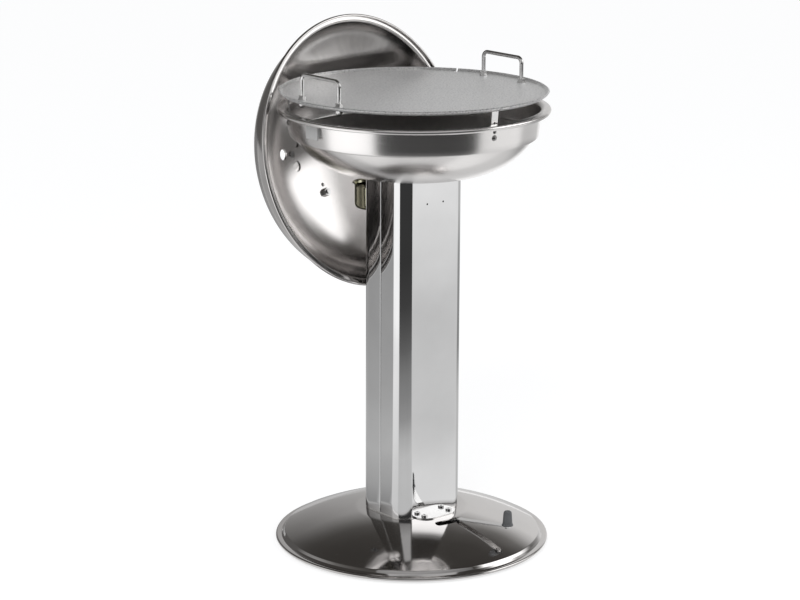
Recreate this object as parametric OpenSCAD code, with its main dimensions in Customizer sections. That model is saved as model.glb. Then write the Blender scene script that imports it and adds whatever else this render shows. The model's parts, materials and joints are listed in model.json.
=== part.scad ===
/* [Base] */
// Outer radius of the base rim
base_r = 243; // [225:1:260]
// Height of the flat top of the base dish
base_h = 58; // [50:1:70]
// Radius of the flat top of the base dish
base_top_r = 96; // [95:1:105]
// Radius where the dome of the base meets its ledge
shoulder_r = 227; // [200:1:230]
// Height of the base shoulder
shoulder_z = 16.5; // [14:0.5:22]
// How far the base dome swells above a straight cone
base_bulge = 4.5; // [2:0.5:8]
// Wall of the base dish
dish_t = 1.5; // [1:0.1:2]
// Radius of the rolled rims of base and lid
bead_r = 3; // [2.5:0.1:3.5]
// Clear height under the base rim
rim_lift = 3; // [1:0.5:5]
// Radius of the ballast plate
ballast_r = 205; // [190:1:212]
// Thickness of the ballast plate
ballast_t = 10; // [6:1:13]
// Radius of the circle of pillars under the dish
pillar_r = 150; // [130:1:165]

/* [Column] */
// Column width, side to side
col_w = 146; // [136:1:160]
// Column depth, front to back
col_d = 116; // [106:1:118]
// Corner radius of the column
col_corner = 27; // [20:1:32]
// Wall of the column shells
col_t = 1.8; // [1.2:0.1:2.5]
// Height of the column shells
col_h = 603.5; // [520:1:640]
// Gap between the two shells at each seam
seam_gap = 0.8; // [0.4:0.1:1.5]
// Width of the inner seam flange
seam_flange = 12; // [9:1:14]
// Thickness of the foot plate and of the head plate
plate_t = 2.5; // [2:0.5:4]
// Width of the ears of the foot plate
ear_w = 84; // [76:1:90]
// How far an ear stands out of the column
ear_out = 26; // [22:1:30]
// Spacing of the two screws in an ear
ear_screws = 56; // [48:1:60]
// Spacing of the two small holes in the front face
face_holes = 36; // [20:1:50]
// Diameter of the two small holes
face_hole_d = 3.4; // [2:0.1:5]
// Distance of the small holes below the column's top
face_hole_drop = 44; // [30:1:80]
// Diameter of the tie rods inside the column
rod_d = 8; // [6:1:10]
// Distance of the tie rods from the column's sides
rod_side = 16; // [14:0.5:19]
// Distance of the tie rods from the column's front and back
rod_front = 17; // [15:0.5:19]

/* [Air control] */
// Radius of the shutter disc
shutter_r = 58; // [55:1:59]
// Thickness of the shutter disc
shutter_t = 2; // [1.5:0.5:3]
// Number of air windows
windows = 9; // [6:1:10]
// Swing of the air lever in degrees
lever_swing = 20; // [14:1:22]
// Inner radius of the lever slot in the dish
slot_in = 100; // [99:1:103]
// Outer radius of the lever slot in the dish
slot_out = 114; // [112:1:117]
// Direction of the lever where it leaves the slot, in degrees
lever_dir = -82.5; // [-84:0.5:-80]
// Sideways bend of the lever's outer arm, in degrees
lever_bend = 20; // [10:1:24]
// Width of the lever strip
lever_w = 12; // [9:1:13]
// Thickness of the lever strip
lever_t = 2.5; // [2:0.5:3]
// Length of the lever's outer arm
lever_arm = 86; // [60:1:95]
// Height of the lever knob
knob_h = 27; // [20:1:34]
// Radius of the lever knob at its foot
knob_r = 10; // [8:0.5:12]

/* [Fire bowl] */
// Wall of the bowl
bowl_t = 2; // [1.5:0.1:2.5]
// Radius of the bowl's flat bottom
bowl_flat_r = 98; // [94:1:104]
// Radius of the crease between the bottom and the wall
crease_r = 207.5; // [200:0.5:210]
// Height of that crease above the bowl's bottom
crease_h = 64.5; // [56:0.5:72]
// Radius at the foot of the upper wall
wall_r = 215.2; // [214:0.1:218]
// Outward lean of the upper wall in degrees
wall_lean = 5.25; // [4:0.05:8]
// Height of the upper wall
wall_h = 39.3; // [34:0.1:44]
// Sag of the bowl's rounded bottom below a straight cone
bowl_sag = 16; // [10:0.5:20]
// Metal left between the bowl's air opening and the column's front and back
throat_edge = 4; // [3:0.5:8]
// Depth of the burner pot
pot_depth = 60; // [40:1:80]
// Holes round the burner pot in one row
pot_holes = 12; // [8:1:14]

/* [Griddle] */
// Outer radius of the griddle
griddle_r = 235; // [231:0.5:236]
// Thickness of the griddle
griddle_t = 3; // [2.5:0.5:4]
// Gap between the bowl's rim and the griddle
griddle_gap = 21.5; // [18:0.1:30]
// Height of the griddle's flared rim
flare_h = 6; // [4:0.5:8]
// Width of the griddle's flared rim
flare_w = 10.5; // [9:0.5:14]
// Width of the supports that carry the griddle
support_w = 13.5; // [12:0.5:20]
// Thickness of the supports
support_t = 2.3; // [1.5:0.1:3]
// Height of the dome screw below the griddle
support_screw_drop = 46; // [44:0.5:52]
// Width of the locating notch in the griddle
notch_w = 3.6; // [3.4:0.1:6]
// Width of the tab that stands in the notch
tab_w = 2; // [1.5:0.1:2.1]
// Spacing of a handle's two legs
handle_w = 99; // [80:1:110]
// Height of a handle above the griddle
handle_h = 46.5; // [36:0.5:60]
// Diameter of the handle rod
handle_d = 7; // [5:0.5:8]
// Distance of a handle from the middle
handle_x = 204; // [198:0.5:209]

/* [Lid] */
// Outer radius of the lid
lid_r = 239.6; // [236:0.2:240]
// Height of the lid's dome above its rim
lid_h = 138.8; // [130:0.2:145]
// Wall of the lid
lid_t = 2; // [1.2:0.1:2.4]
// Width of the flat flange inside the lid's bead
lid_flange = 8.6; // [7:0.2:9.6]
// How far the hanging lid leans back, in degrees
lid_lean = 12.8; // [12:0.1:14]
// How far the hanging lid is turned about the column
lid_turn = 5.5; // [0:0.5:10]
// Distance of the hanging lid's middle behind the column axis
lid_back = 116.2; // [116:0.1:122]
// Drop of the hanging lid's middle below the bowl's rim
lid_drop = 94.2; // [90:0.1:98]
// Diameter of the vent holes
vent_d = 20; // [14:0.5:21]
// Radius of the circle of the vent holes
vent_ring = 24; // [22:0.5:27]
// Swing of the vent disc in degrees
vent_swing = 60; // [58:1:62]
// Height of the lid knob
lid_knob_h = 34; // [24:1:40]
// Radius of the lid knob
lid_knob_r = 17; // [14:0.5:20]
// Width of the hook inside the lid
hook_w = 20; // [16:1:26]

/* [Cup] */
// Outer radius of the drip cup
cup_r = 30; // [24:0.5:32]
// Height of the drip cup
cup_h = 47; // [40:1:60]
// Wall of the cup
cup_t = 1.5; // [1:0.1:2]
// How far the cup's lip flares
cup_lip = 4; // [2:0.5:5]
// Distance of the cup's middle behind the column axis
cup_back = 115; // [112:0.5:118]
// Distance of the cup's rim below the bowl's bottom
cup_drop = 37.5; // [36:0.5:60]

/* [Side plate] */
// Width of the hook plate on the bowl's side
side_w = 30; // [24:1:40]
// Height of the hook plate
side_h = 24; // [18:1:26]
// How far the hook plate stands off the bowl
side_off = 4; // [3:0.5:8]

/* [Hidden] */
$fn = 64;
// Clearance between pieces that rest on each other
seat = 0.2;
// Clearance between pieces that are curved or move
free = 0.3;
// Radial clearance of a screw or pin in its hole
fit = 0.08;
// Overlap that lets a cut pass right through
eps = 1;
// Thread and head sizes of the screws
m4 = 4;
m5 = 5;
m6 = 6;
m8 = 8;
// Width and height of a nut as shares of its thread
nut_wide = 1.65;
nut_high = 0.8;

// Heights that follow from the driving sizes
foot_top = base_h + plate_t;
head_z = foot_top + col_h;
bowl_z = head_z + plate_t;
crease_z = bowl_z + crease_h;
wall_z = crease_z + 4;
lip_z = wall_z + wall_h;
curl_r = 5.7;
lip_x = wall_r + wall_h * tan(wall_lean) + curl_r;
rim_z = lip_z + curl_r + bowl_t;
rim_bead = 4.4;
griddle_z = rim_z + griddle_gap;
griddle_top = griddle_z + griddle_t;
screw_z = griddle_z - support_screw_drop;
lid_z = rim_z - lid_drop;
cup_z = bowl_z - cup_drop - cup_h;
dome_a = lid_r - bead_r - lid_flange;
dome_b = lid_h - 2 * bead_r;
throat_r = col_d / 2 - throat_edge;
rod_x = col_w - 2 * rod_side;
rod_y = col_d - 2 * rod_front;
support_dirs = [-92.5, 30, 150];

// Points of an arc, from angle a0 to a1
function arc(c, r, a0, a1, n = 8) =
    [for (i = [0 : n]) let (a = a0 + (a1 - a0) * i / n) c + r * [cos(a), sin(a)]];
// Points of a shallow arc from a to b that swells by s to the left
function bow(a, b, s, n = 10) = let (c = norm(b - a), u = (b - a) / c, v = [-u[1], u[0]],
    r = (c * c / 4 + s * s) / (2 * s), m = (a + b) / 2 + v * (s - r), h = asin(c / 2 / r))
    [for (i = [0 : n]) let (t = h * (2 * i / n - 1)) m + r * (v * cos(t) + u * sin(t))];
function right_of(a, b) = let (d = b - a) [d[1], -d[0]] / norm(d);
// Outline moved to its right by t, corner by corner
function beside(p, t) = let (n = len(p) - 1) [for (i = [0 : n])
    let (a = right_of(p[max(i - 1, 0)], p[max(i, 1)]),
        b = right_of(p[min(i, n - 1)], p[min(i + 1, n)]), m = (a + b) / norm(a + b))
    p[i] + m * t / (m * a)];
function backwards(p) = [for (i = [len(p) - 1 : -1 : 0]) p[i]];
// Closed outline of a sheet of thickness t along the points p
function sheet(p, t) = concat(p, backwards(beside(p, t)));
function part_of(p, first, last) = [for (i = [first : last]) p[i]];

module spin(points, sides = 128) { rotate_extrude($fn = sides) polygon(points); }
module rod(h, d, sides = 32) { cylinder(h = h, r = d / 2, $fn = sides); }
module tube_hole(z, h, r) { translate([0, 0, z]) cylinder(h = h, r = r, $fn = 32); }
module hex_nut(d) {
    difference() {
        cylinder(h = nut_high * d, r = nut_wide * d / sqrt(3), $fn = 6);
        tube_hole(-eps, nut_high * d + 2 * eps, d / 2 + fit);
    }
}
module rounded(w, d, r) {
    square([w - 2 * r, d], center = true);
    square([w, d - 2 * r], center = true);
    for (x = [-1, 1], y = [-1, 1]) translate([x * (w / 2 - r), y * (d / 2 - r)]) circle(r, $fn = 64);
}
module at_pairs(x, y) { for (i = [-1, 1], j = [-1, 1]) translate([i * x / 2, j * y / 2, 0]) children(); }
// A screw along +Z with a round head above z = 0 and a hex socket in it
module socket_screw(d, length, head_d, head_h) {
    difference() {
        union() {
            translate([0, 0, -length]) rod(length + head_h / 2, d);
            cylinder(h = head_h, r = head_d / 2, $fn = 48);
        }
        translate([0, 0, head_h * 0.4]) cylinder(h = head_h, r = d * 0.38, $fn = 6);
    }
}
// A rivet along +Z that clamps from z = -length to z = 0
module rivet(d, length) {
    translate([0, 0, -length - 0.2 * d]) rod(length + 0.4 * d, d);
    for (s = [0, 1]) translate([0, 0, -s * length]) mirror([0, 0, s]) rivet_head(d);
}
module rivet_head(d) {
    rotate_extrude($fn = 32) polygon(concat([[0, 0]], arc([0, -0.55 * d], d * 1.04, 32, 90, 5)));
}

// Base
ledge_z = rim_lift + 2 * bead_r;
dish_path = concat([[12, base_h], [base_top_r, base_h]],
    bow([base_top_r + 6, base_h - 0.9], [shoulder_r, shoulder_z], base_bulge, 12),
    [[shoulder_r + 3, shoulder_z - 4.6], [shoulder_r + 6, ledge_z]],
    arc([base_r - bead_r, ledge_z - bead_r], bead_r, 90, -120, 10));
dish_under = part_of(beside(dish_path, dish_t), 1, 15);
module below_dish() {
    spin(concat([[0, 0], [0, base_h - dish_t]], dish_under, [[dish_under[14][0], 0]]));
}
module lever_slot(a0, a1) {
    w = (slot_out - slot_in) / 2;
    m = slot_in + w;
    linear_extrude(base_h) polygon(concat(arc([0, 0], slot_out, a0, a1, 16),
        arc(m * [cos(a1), sin(a1)], w, a1 + 15, a1 + 165, 8), arc([0, 0], slot_in, a1, a0, 16),
        arc(m * [cos(a0), sin(a0)], w, a0 + 195, a0 + 345, 8)));
}
window_in = 18;
window_out = 44;
window_a = 360 / windows / 2 - 2;
module air_windows(z, h) {
    for (i = [0 : windows - 1]) rotate([0, 0, 360 / windows * i]) translate([0, 0, z])
        linear_extrude(h) polygon(concat(arc([0, 0], window_in, -window_a / 2, window_a / 2, 4),
            arc([0, 0], window_out, window_a / 2, -window_a / 2, 6)));
}
pivot_d = m8;
slot_end = asin((slot_out - slot_in) / 2 / ((slot_in + slot_out) / 2));
lever_half = asin(lever_w / 2 / slot_in);
module base_dish() {
    color("lightgray") difference() {
        spin(concat([[0, base_h - dish_t]], [[0, base_h]], part_of(dish_path, 1, len(dish_path) - 1),
            backwards(part_of(beside(dish_path, dish_t), 1, len(dish_path) - 1))), 160);
        air_windows(base_h - dish_t - eps, dish_t + 2 * eps);
        tube_hole(base_h - 5, 10, pivot_d / 2 + fit);
        at_pairs(ear_screws, ear_screw_y * 2) tube_hole(base_h - 5, 10, m6 / 2 + fit);
        translate([0, 0, base_h - 15]) lever_slot(lever_dir - lever_swing - 1, lever_dir + 1);
    }
}
ear_screw_out = 10;
ear_screw_y = col_d / 2 + ear_screw_out;
// Counterbore under the ballast plate and the screws' hold in the pillars
sink_h = 5;
sink_r = 8;
pillar_hold = 12;
module ballast_plate() {
    color("dimgray") difference() {
        cylinder(h = ballast_t, r = ballast_r, $fn = 128);
        for (a = [0 : 120 : 240]) rotate([0, 0, a + 30]) translate([pillar_r, 0, 0]) {
            tube_hole(-eps, ballast_t + 2 * eps, m8 / 2 + fit);
            tube_hole(-eps, sink_h + eps, sink_r);
        }
    }
}
module ballast_screws() {
    color("gray") for (a = [0 : 120 : 240]) rotate([0, 0, a + 30]) translate([pillar_r, 0, sink_h])
        mirror([0, 0, 1]) socket_screw(m8, ballast_t - sink_h + pillar_hold, 2 * sink_r - 1, sink_h - 0.6);
}
module ballast_pillars() {
    color("darkgray") difference() {
        intersection() {
            for (a = [0 : 120 : 240]) rotate([0, 0, a + 30]) translate([pillar_r, 0, ballast_t])
                cylinder(h = base_h, r = sink_r + 1, $fn = 48);
            translate([0, 0, -seat / 2]) below_dish();
        }
        for (a = [0 : 120 : 240]) rotate([0, 0, a + 30]) translate([pillar_r, 0, 0])
            tube_hole(ballast_t - eps, pillar_hold + 4 + eps, m8 / 2 + fit);
    }
}
module foot_plate() {
    color("gainsboro") difference() {
        translate([0, 0, base_h]) linear_extrude(plate_t) union() {
            rounded(ear_w, col_d + 2 * ear_out, 24);
            rounded(col_w - 2, col_d - 2, col_corner - 1);
        }
        tube_hole(base_h - eps, plate_t + 2 * eps, window_out + 6);
        at_pairs(ear_screws, ear_screw_y * 2) tube_hole(base_h - eps, 10, m6 / 2 + fit);
    }
}
module foot_screws() {
    color("dimgray") translate([0, 0, foot_top]) at_pairs(ear_screws, ear_screw_y * 2)
        socket_screw(m6, plate_t + dish_t + nut_high * m6 + 0.5, 1.75 * m6, m6 / 2);
}
module foot_nuts() {
    color("dimgray") translate([0, 0, base_h - dish_t - nut_high * m6])
        at_pairs(ear_screws, ear_screw_y * 2) hex_nut(m6);
}

// Air control
shutter_z = base_h - dish_t - seat - shutter_t;
lever_in_z = shutter_z - lever_t;
lever_out_z = base_h - 0.8;
module shutter_bolt() {
    color("dimgray") translate([0, 0, base_h]) difference() {
        union() {
            cylinder(h = 5, r = 6.5 * 2 / sqrt(3), $fn = 6);
            translate([0, 0, -22]) rod(24, pivot_d);
        }
        translate([0, 0, 4]) cylinder(h = 2, r = 4, $fn = 32);
    }
}
module shutter_nut() {
    color("dimgray") translate([0, 0, shutter_z - seat - nut_high * pivot_d]) hex_nut(pivot_d);
}
module air_shutter() {
    color("darkgray") difference() {
        translate([0, 0, shutter_z]) cylinder(h = shutter_t, r = shutter_r, $fn = 96);
        air_windows(shutter_z - eps, shutter_t + 2 * eps);
        tube_hole(shutter_z - eps, 10, pivot_d / 2 + fit);
        lever_rivet_spots() tube_hole(shutter_z - eps, 10, m4 / 2 + fit);
    }
}
lever_rivet_in = 4.5;
lever_rivet_pitch = 6;
module lever_rivet_spots() {
    rotate([0, 0, lever_dir]) for (r = [lever_rivet_in, lever_rivet_in + lever_rivet_pitch])
        translate([window_out + r, 0, 0]) children();
}
// The lever strip in its own frame: inner arm along +X, joggle through the slot, outer arm bent
lever_start = window_out + 1;
joggle_gap = 1.5;
joggle_in = slot_in + joggle_gap;
joggle_out = slot_out - joggle_gap;
arm_start = joggle_out + 4 * joggle_gap;
arm_path = [[-4, 0], [0, 0], lever_arm * [cos(lever_bend), sin(lever_bend)]];
module air_lever() {
    color("silver") difference() {
        rotate([0, 0, lever_dir]) {
            translate([0, lever_w / 2, 0]) rotate([90, 0, 0]) linear_extrude(lever_w) polygon(sheet(
                [[lever_start, lever_in_z + lever_t], [joggle_in, lever_in_z + lever_t],
                [joggle_out, lever_out_z + lever_t],
                [joggle_out + 2 * joggle_gap, lever_out_z + lever_t]], lever_t));
            translate([arm_start, 0, lever_out_z]) linear_extrude(lever_t)
                polygon(concat(beside(arm_path, lever_w / 2),
                    arc(arm_path[2], lever_w / 2, lever_bend - 75, lever_bend + 75, 10),
                    backwards(beside(arm_path, -lever_w / 2))));
        }
        lever_rivet_spots() tube_hole(lever_in_z - eps, 10, m4 / 2 + fit);
        lever_end() tube_hole(-eps, 10, m5 / 2 + fit);
    }
}
module lever_end() {
    rotate([0, 0, lever_dir]) translate([arm_start, 0, lever_out_z]) rotate([0, 0, lever_bend])
        translate([lever_arm, 0, 0]) children();
}
module lever_rivets() {
    color("dimgray") lever_rivet_spots() {
        translate([0, 0, lever_in_z - 1]) rod(lever_t + shutter_t + 1, m4);
        translate([0, 0, lever_in_z - 1.5]) rod(1.5, 5.6);
    }
}
module lever_knob() {
    color("dimgray") lever_end() difference() {
        translate([0, 0, lever_t]) spin(concat([[0, 0], [knob_r, 0], [knob_r, 1.2], [knob_r * 0.86, 4]],
            arc([knob_r * 0.3, knob_h - knob_r * 0.45], knob_r * 0.42, 8, 90, 6),
            [[0, knob_h - knob_r * 0.03]]), 48);
        tube_hole(lever_t - eps, 14 + eps, m5 / 2 + fit);
    }
}
module lever_knob_screw() {
    color("dimgray") lever_end() mirror([0, 0, 1]) socket_screw(m5, lever_t + 12, 9, 2.5);
}

// Column
module shell_half() {
    translate([0, 0, foot_top]) linear_extrude(col_h) {
        difference() {
            rounded(col_w, col_d, col_corner);
            rounded(col_w - 2 * col_t, col_d - 2 * col_t, col_corner - col_t);
            translate([-col_w, -seam_gap / 2]) square([2 * col_w, col_d]);
        }
        for (s = [-1, 1]) translate([s * (col_w - seam_flange - col_t / 2) / 2, -(seam_gap + col_t) / 2])
            square([seam_flange - col_t / 2, col_t], center = true);
    }
}
seam_x = col_w / 2 - seam_flange / 2;
seam_heights = [0.08, 0.36, 0.64, 0.92];
module seam_spots() {
    for (k = seam_heights, s = [-1, 1]) translate([s * seam_x, 0, foot_top + k * col_h])
        rotate([90, 0, 0]) children();
}
module column_front_shell() {
    color("gainsboro") difference() {
        shell_half();
        for (s = [-1, 1]) translate([s * face_holes / 2, -col_d / 2 - eps, head_z - face_hole_drop])
            rotate([-90, 0, 0]) cylinder(h = col_t + 2 * eps, r = face_hole_d / 2, $fn = 32);
        seam_spots() translate([0, 0, -10]) cylinder(h = 20, r = 2 + fit, $fn = 32);
    }
}
module column_rear_shell() {
    color("gainsboro") difference() {
        mirror([0, 1, 0]) shell_half();
        seam_spots() translate([0, 0, -10]) cylinder(h = 20, r = 2 + fit, $fn = 32);
        bracket_screw_spots() translate([0, 0, -6]) rod(12, 5 + 2 * fit);
    }
}
seam_grip = seam_gap + 2 * col_t + 2 * seat;
module seam_rivets() {
    color("silver") seam_spots() {
        translate([0, 0, seam_grip / 2]) rivet(4, seam_grip);
        difference() {
            translate([0, 0, -seam_gap / 2]) cylinder(h = seam_gap, r = 3.6, $fn = 32);
            translate([0, 0, -seam_gap]) cylinder(h = 2 * seam_gap, r = 1.9, $fn = 32);
        }
    }
}
module column_head_plate() {
    color("silver") translate([0, 0, head_z]) difference() {
        linear_extrude(plate_t) rounded(col_w - 1.6, col_d - 1.6, col_corner - 0.8);
        tube_hole(-eps, plate_t + 2 * eps, throat_r + 1);
        at_pairs(rod_x, rod_y) tube_hole(-eps, 10, rod_d / 2 + fit);
    }
}
rod_nut_h = nut_high * rod_d;
module tie_rods() {
    color("darkgray") at_pairs(rod_x, rod_y) translate([0, 0, foot_top + seat])
        rod(bowl_z + bowl_t + rod_nut_h + 2 - foot_top - seat, rod_d);
}
module rod_foot_nuts() {
    color("gray") translate([0, 0, foot_top]) at_pairs(rod_x, rod_y) hex_nut(rod_d);
}
module rod_head_nuts() {
    color("gray") translate([0, 0, bowl_z + bowl_t]) at_pairs(rod_x, rod_y)
        hex_nut(rod_d);
}

// Fire bowl: the outline of its outer side, from the throat to the rolled rim
bowl_path = concat([[throat_r, bowl_z]],
    bow([bowl_flat_r, bowl_z], [crease_r, crease_z], -bowl_sag, 12),
    [[wall_r - 0.8, crease_z + 1.2], [wall_r, wall_z]],
    arc([lip_x, lip_z], curl_r, 180 - wall_lean, 82, 5),
    arc([lip_x + 7, lip_z + 2.4], rim_bead - bowl_t, 75, -55, 6));
module bowl_outside() {
    spin(concat([[0, bowl_z - free]], beside(part_of(bowl_path, 0, 16), free), [[0, lip_z + 4]]));
}
module fire_bowl() {
    color("silver") difference() {
        spin(sheet(bowl_path, -bowl_t), 160);
        at_pairs(rod_x, rod_y) tube_hole(bowl_z - eps, 10, rod_d / 2 + fit);
        support_spots() {
            translate([0, 0, -12]) rod(24, m6 + 2 * fit);
            translate([pin_up, 0, -12]) rod(24, 4 + 2 * fit);
        }
        side_rivet_spots() translate([0, 0, -10]) rod(20, 4 + 2 * fit);
    }
}
// Radius of the bowl wall's outer face at height z
function wall_at(z) = wall_r + (z - wall_z) * tan(wall_lean);
pin_up = -10.2;
// Frame on the wall's outer face at each support screw: +Z outward, +X down along the wall
module support_frame(a) {
    rotate([0, 0, a]) translate([wall_at(screw_z), 0, screw_z]) rotate([0, wall_lean + 90, 0]) children();
}
module support_spots() { for (a = support_dirs) support_frame(a) children(); }
support_face = -bowl_t - free;
support_top = (griddle_z - seat - screw_z) / cos(wall_lean) - (support_t - support_face) * tan(wall_lean);
support_low = 14;
tab_h = 1.2;
module griddle_support(a) {
    color("white") support_frame(a) difference() {
        union() {
            translate([-support_top, -support_w / 2, support_face - support_t])
                cube([support_top + support_low, support_w, support_t]);
            translate([-support_top - tab_h, -tab_w / 2, support_face - support_t])
                cube([tab_h + 1, tab_w, support_t]);
        }
        translate([0, 0, -12]) rod(24, m6 + 2 * fit);
        translate([pin_up, 0, -12]) rod(24, 4 + 2 * fit);
        translate([-25, 0, -12]) rod(24, 4);
    }
}
module griddle_support_front() { griddle_support(support_dirs[0]); }
module griddle_support_right() { griddle_support(support_dirs[1]); }
module griddle_support_left() { griddle_support(support_dirs[2]); }
support_back = support_face - support_t;
module support_screws() {
    color("silver") support_spots() {
        translate([0, 0, support_back - 1.2 * m6]) rod(1.2 * m6 - support_back, m6);
        translate([0, 0, 0.2]) rotate_extrude($fn = 48)
            polygon(concat([[0, -0.2], [5, -0.2]], arc([0, -2.6], 5.75, 28, 90, 6)));
    }
}
module support_pins() {
    color("silver") support_spots() translate([pin_up, 0, 0.1]) rivet(4, 0.2 - support_back);
}
module support_nuts() {
    color("gray") support_spots() translate([0, 0, support_back - nut_high * m6]) hex_nut(m6);
}
// Hook plate on the left side of the bowl
side_top = lip_z - 2;
side_face = wall_at(side_top) + side_off;
module side_hook() {
    color("gainsboro") difference() {
        union() {
            translate([-side_face, -side_w / 2, side_top - side_h]) cube([2, side_w, side_h]);
            translate([-side_face, -side_w / 2, side_top - 2]) cube([side_off + 8, side_w, 2]);
            for (s = [0, 1]) mirror([0, s, 0])
                translate([-side_face, side_w / 2 - 2, side_top - side_h + 5])
                cube([side_off + 8, 2, side_h - 5]);
            translate([-side_face + 1, -side_w / 2 + 1, side_top - 9])
                cube([side_off + 7, side_w - 2, 1.5]);
        }
        bowl_outside();
    }
}
module side_rivet_spots() {
    for (s = [-1, 1]) translate([-wall_at(side_top - 5), s * 6, side_top - 5])
        rotate([0, -90, 0]) children();
}
module side_hook_rivets() {
    color("silver") side_rivet_spots() {
        translate([0, 0, -bowl_t - 1.2]) rod(bowl_t + 1.2 + side_off - 2.6, 4);
        translate([0, 0, -bowl_t - 2.5]) rod(1.9, 7);
    }
}
// Burner pot and its grate
pot_r = throat_r - 1;
pot_t = 1.5;
pot_top = bowl_z + bowl_t + seat;
pot_low = pot_top - pot_depth;
pot_path = [[pot_r - 9, pot_low], [pot_r - 4, pot_low], [pot_r - 1, pot_low + 3], [pot_r, pot_top - 1],
    [pot_r + 1, pot_top], [pot_r + 6, pot_top]];
module fire_pot() {
    color("dimgray") difference() {
        spin(sheet(pot_path, -pot_t), 96);
        for (row = [0, 1], i = [0 : pot_holes - 1])
            rotate([0, 0, (i + row / 2) * 360 / pot_holes])
                translate([pot_r - 10, 0, pot_low + 22 + 18 * row]) rotate([0, 90, 0]) rod(20, 7);
    }
}
grate_r = pot_r - 4.5;
module fire_grate() {
    color("dimgray") translate([0, 0, pot_low + pot_t + seat]) difference() {
        cylinder(h = 3, r = grate_r, $fn = 64);
        for (k = [1, 2, 3], i = [0 : 6 * k - 1]) rotate([0, 0, i * 60 / k]) translate([k * 13, 0, -eps])
            rod(6, 6);
        translate([0, 0, -eps]) rod(6, 6);
    }
}

// Griddle
flare_x = griddle_r - flare_w;
griddle_path = concat([[0, griddle_z], [flare_x, griddle_z]],
    bow([flare_x + 2, griddle_z + 0.4], [griddle_r - 2.4, griddle_z + flare_h], -0.5, 4));
module griddle_plate() {
    color("darkgray") difference() {
        spin(sheet(griddle_path, -griddle_t), 160);
        for (a = support_dirs) rotate([0, 0, a]) translate([griddle_r - 22, -notch_w / 2, griddle_z - eps])
            cube([30, notch_w, 20]);
        handle_legs() tube_hole(-griddle_t - eps, griddle_t + 2 * eps, handle_d / 2 + fit);
    }
}
module handle_legs() {
    for (i = [-1, 1], j = [-1, 1]) translate([i * handle_x, j * handle_w / 2, griddle_top]) children();
}
bend_r = 10;
leg_down = griddle_t + 7;
module griddle_handle(side) {
    color("silver") translate([side * handle_x, 0, griddle_top]) {
        for (j = [-1, 1]) translate([0, j * handle_w / 2, -leg_down])
            rod(leg_down + handle_h - handle_d / 2 - bend_r, handle_d);
        for (j = [0, 1]) mirror([0, j, 0])
            translate([0, handle_w / 2 - bend_r, handle_h - handle_d / 2 - bend_r])
            rotate([90, 0, 90]) rotate_extrude(angle = 90, $fn = 48)
            translate([bend_r, 0]) circle(handle_d / 2, $fn = 32);
        translate([0, -handle_w / 2 + bend_r, handle_h - handle_d / 2]) rotate([-90, 0, 0])
            rod(handle_w - 2 * bend_r, handle_d);
    }
}
module griddle_handle_right() { griddle_handle(1); }
module griddle_handle_left() { griddle_handle(-1); }
washer_t = 1.2;
module handle_washers() {
    color("silver") handle_legs() difference() {
        rod(washer_t, 2.1 * handle_d);
        tube_hole(-eps, 5, handle_d / 2 + fit);
    }
}
module handle_nuts() {
    color("silver") handle_legs() translate([0, 0, washer_t]) hex_nut(handle_d);
}
module handle_cap_nuts() {
    color("silver") handle_legs() translate([0, 0, -griddle_t]) difference() {
        union() {
            translate([0, 0, -5.5]) cylinder(h = 5.5, r = nut_wide * handle_d / sqrt(3), $fn = 6);
            translate([0, 0, -5.5]) intersection() {
                sphere(r = 0.8 * handle_d, $fn = 32);
                translate([0, 0, -10]) rod(10.5, 12);
            }
        }
        tube_hole(-7.4, 10, handle_d / 2 + fit);
    }
}

// Drip cup and the bracket that carries it
arm_z = cup_z + cup_h - 12.8;
cup_front = cup_back - cup_r;
module drip_cup() {
    color("darkkhaki") translate([0, cup_back, cup_z]) difference() {
        spin(sheet(concat([[0, 0], [cup_r - 9, 0]], arc([cup_r - 9, 9], 9, -75, 0, 5),
            [[cup_r, cup_h - 6], [cup_r + 0.8, cup_h - 3], [cup_r + cup_lip, cup_h - 1]]), -cup_t), 96);
        cup_rivet_spots() translate([0, 0, -5]) rod(12, 3 + 2 * fit);
    }
}
module cup_rivet_spots() {
    for (k = [-7, -16]) translate([0, -cup_r, arm_z - cup_z + k]) rotate([90, 0, 0]) children();
}
hook_gap = 2.6;
tab_y = col_d / 2 + seat + 7.8;
module cup_hook() {
    color("silver") difference() {
        translate([8, 0, 0]) rotate([0, -90, 0]) linear_extrude(16) polygon([for (p = sheet(
            [[arm_z - 10, tab_y - 2.8], [arm_z + 2, tab_y - 2.8], [arm_z + 2, cup_front - free],
            [arm_z - 20, cup_front - free]], -2)) p]);
        translate([0, cup_back, cup_z]) cup_rivet_spots() translate([0, 0, -5]) rod(12, 3 + 2 * fit);
    }
}
module cup_hook_rivets() {
    color("gray") translate([0, cup_back, cup_z]) cup_rivet_spots() {
        translate([0, 0, -cup_t - 1]) rod(cup_t + free + 2 + 2, 3);
        translate([0, 0, free + 2]) rod(1, 5.4);
        translate([0, 0, -cup_t - 1.2]) rod(0.9, 5.4);
    }
}
module bracket_screw_spots() {
    translate([0, col_d / 2 + seat + 2, arm_z + 14]) rotate([-90, 0, 0]) children();
}
module cup_bracket() {
    color("silver") difference() {
        translate([12, 0, 0]) rotate([0, -90, 0]) linear_extrude(24) polygon(sheet(
            [[arm_z + 22, col_d / 2 + seat], [arm_z - 16, col_d / 2 + seat], [arm_z - 16, tab_y + 2],
            [arm_z - seat, tab_y + 2]], 2));
        bracket_screw_spots() translate([0, 0, -6]) rod(12, 5 + 2 * fit);
    }
}
module cup_bracket_screws() {
    color("gray") bracket_screw_spots() socket_screw(m5, 5.2, 9, 2.5);
}

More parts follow.
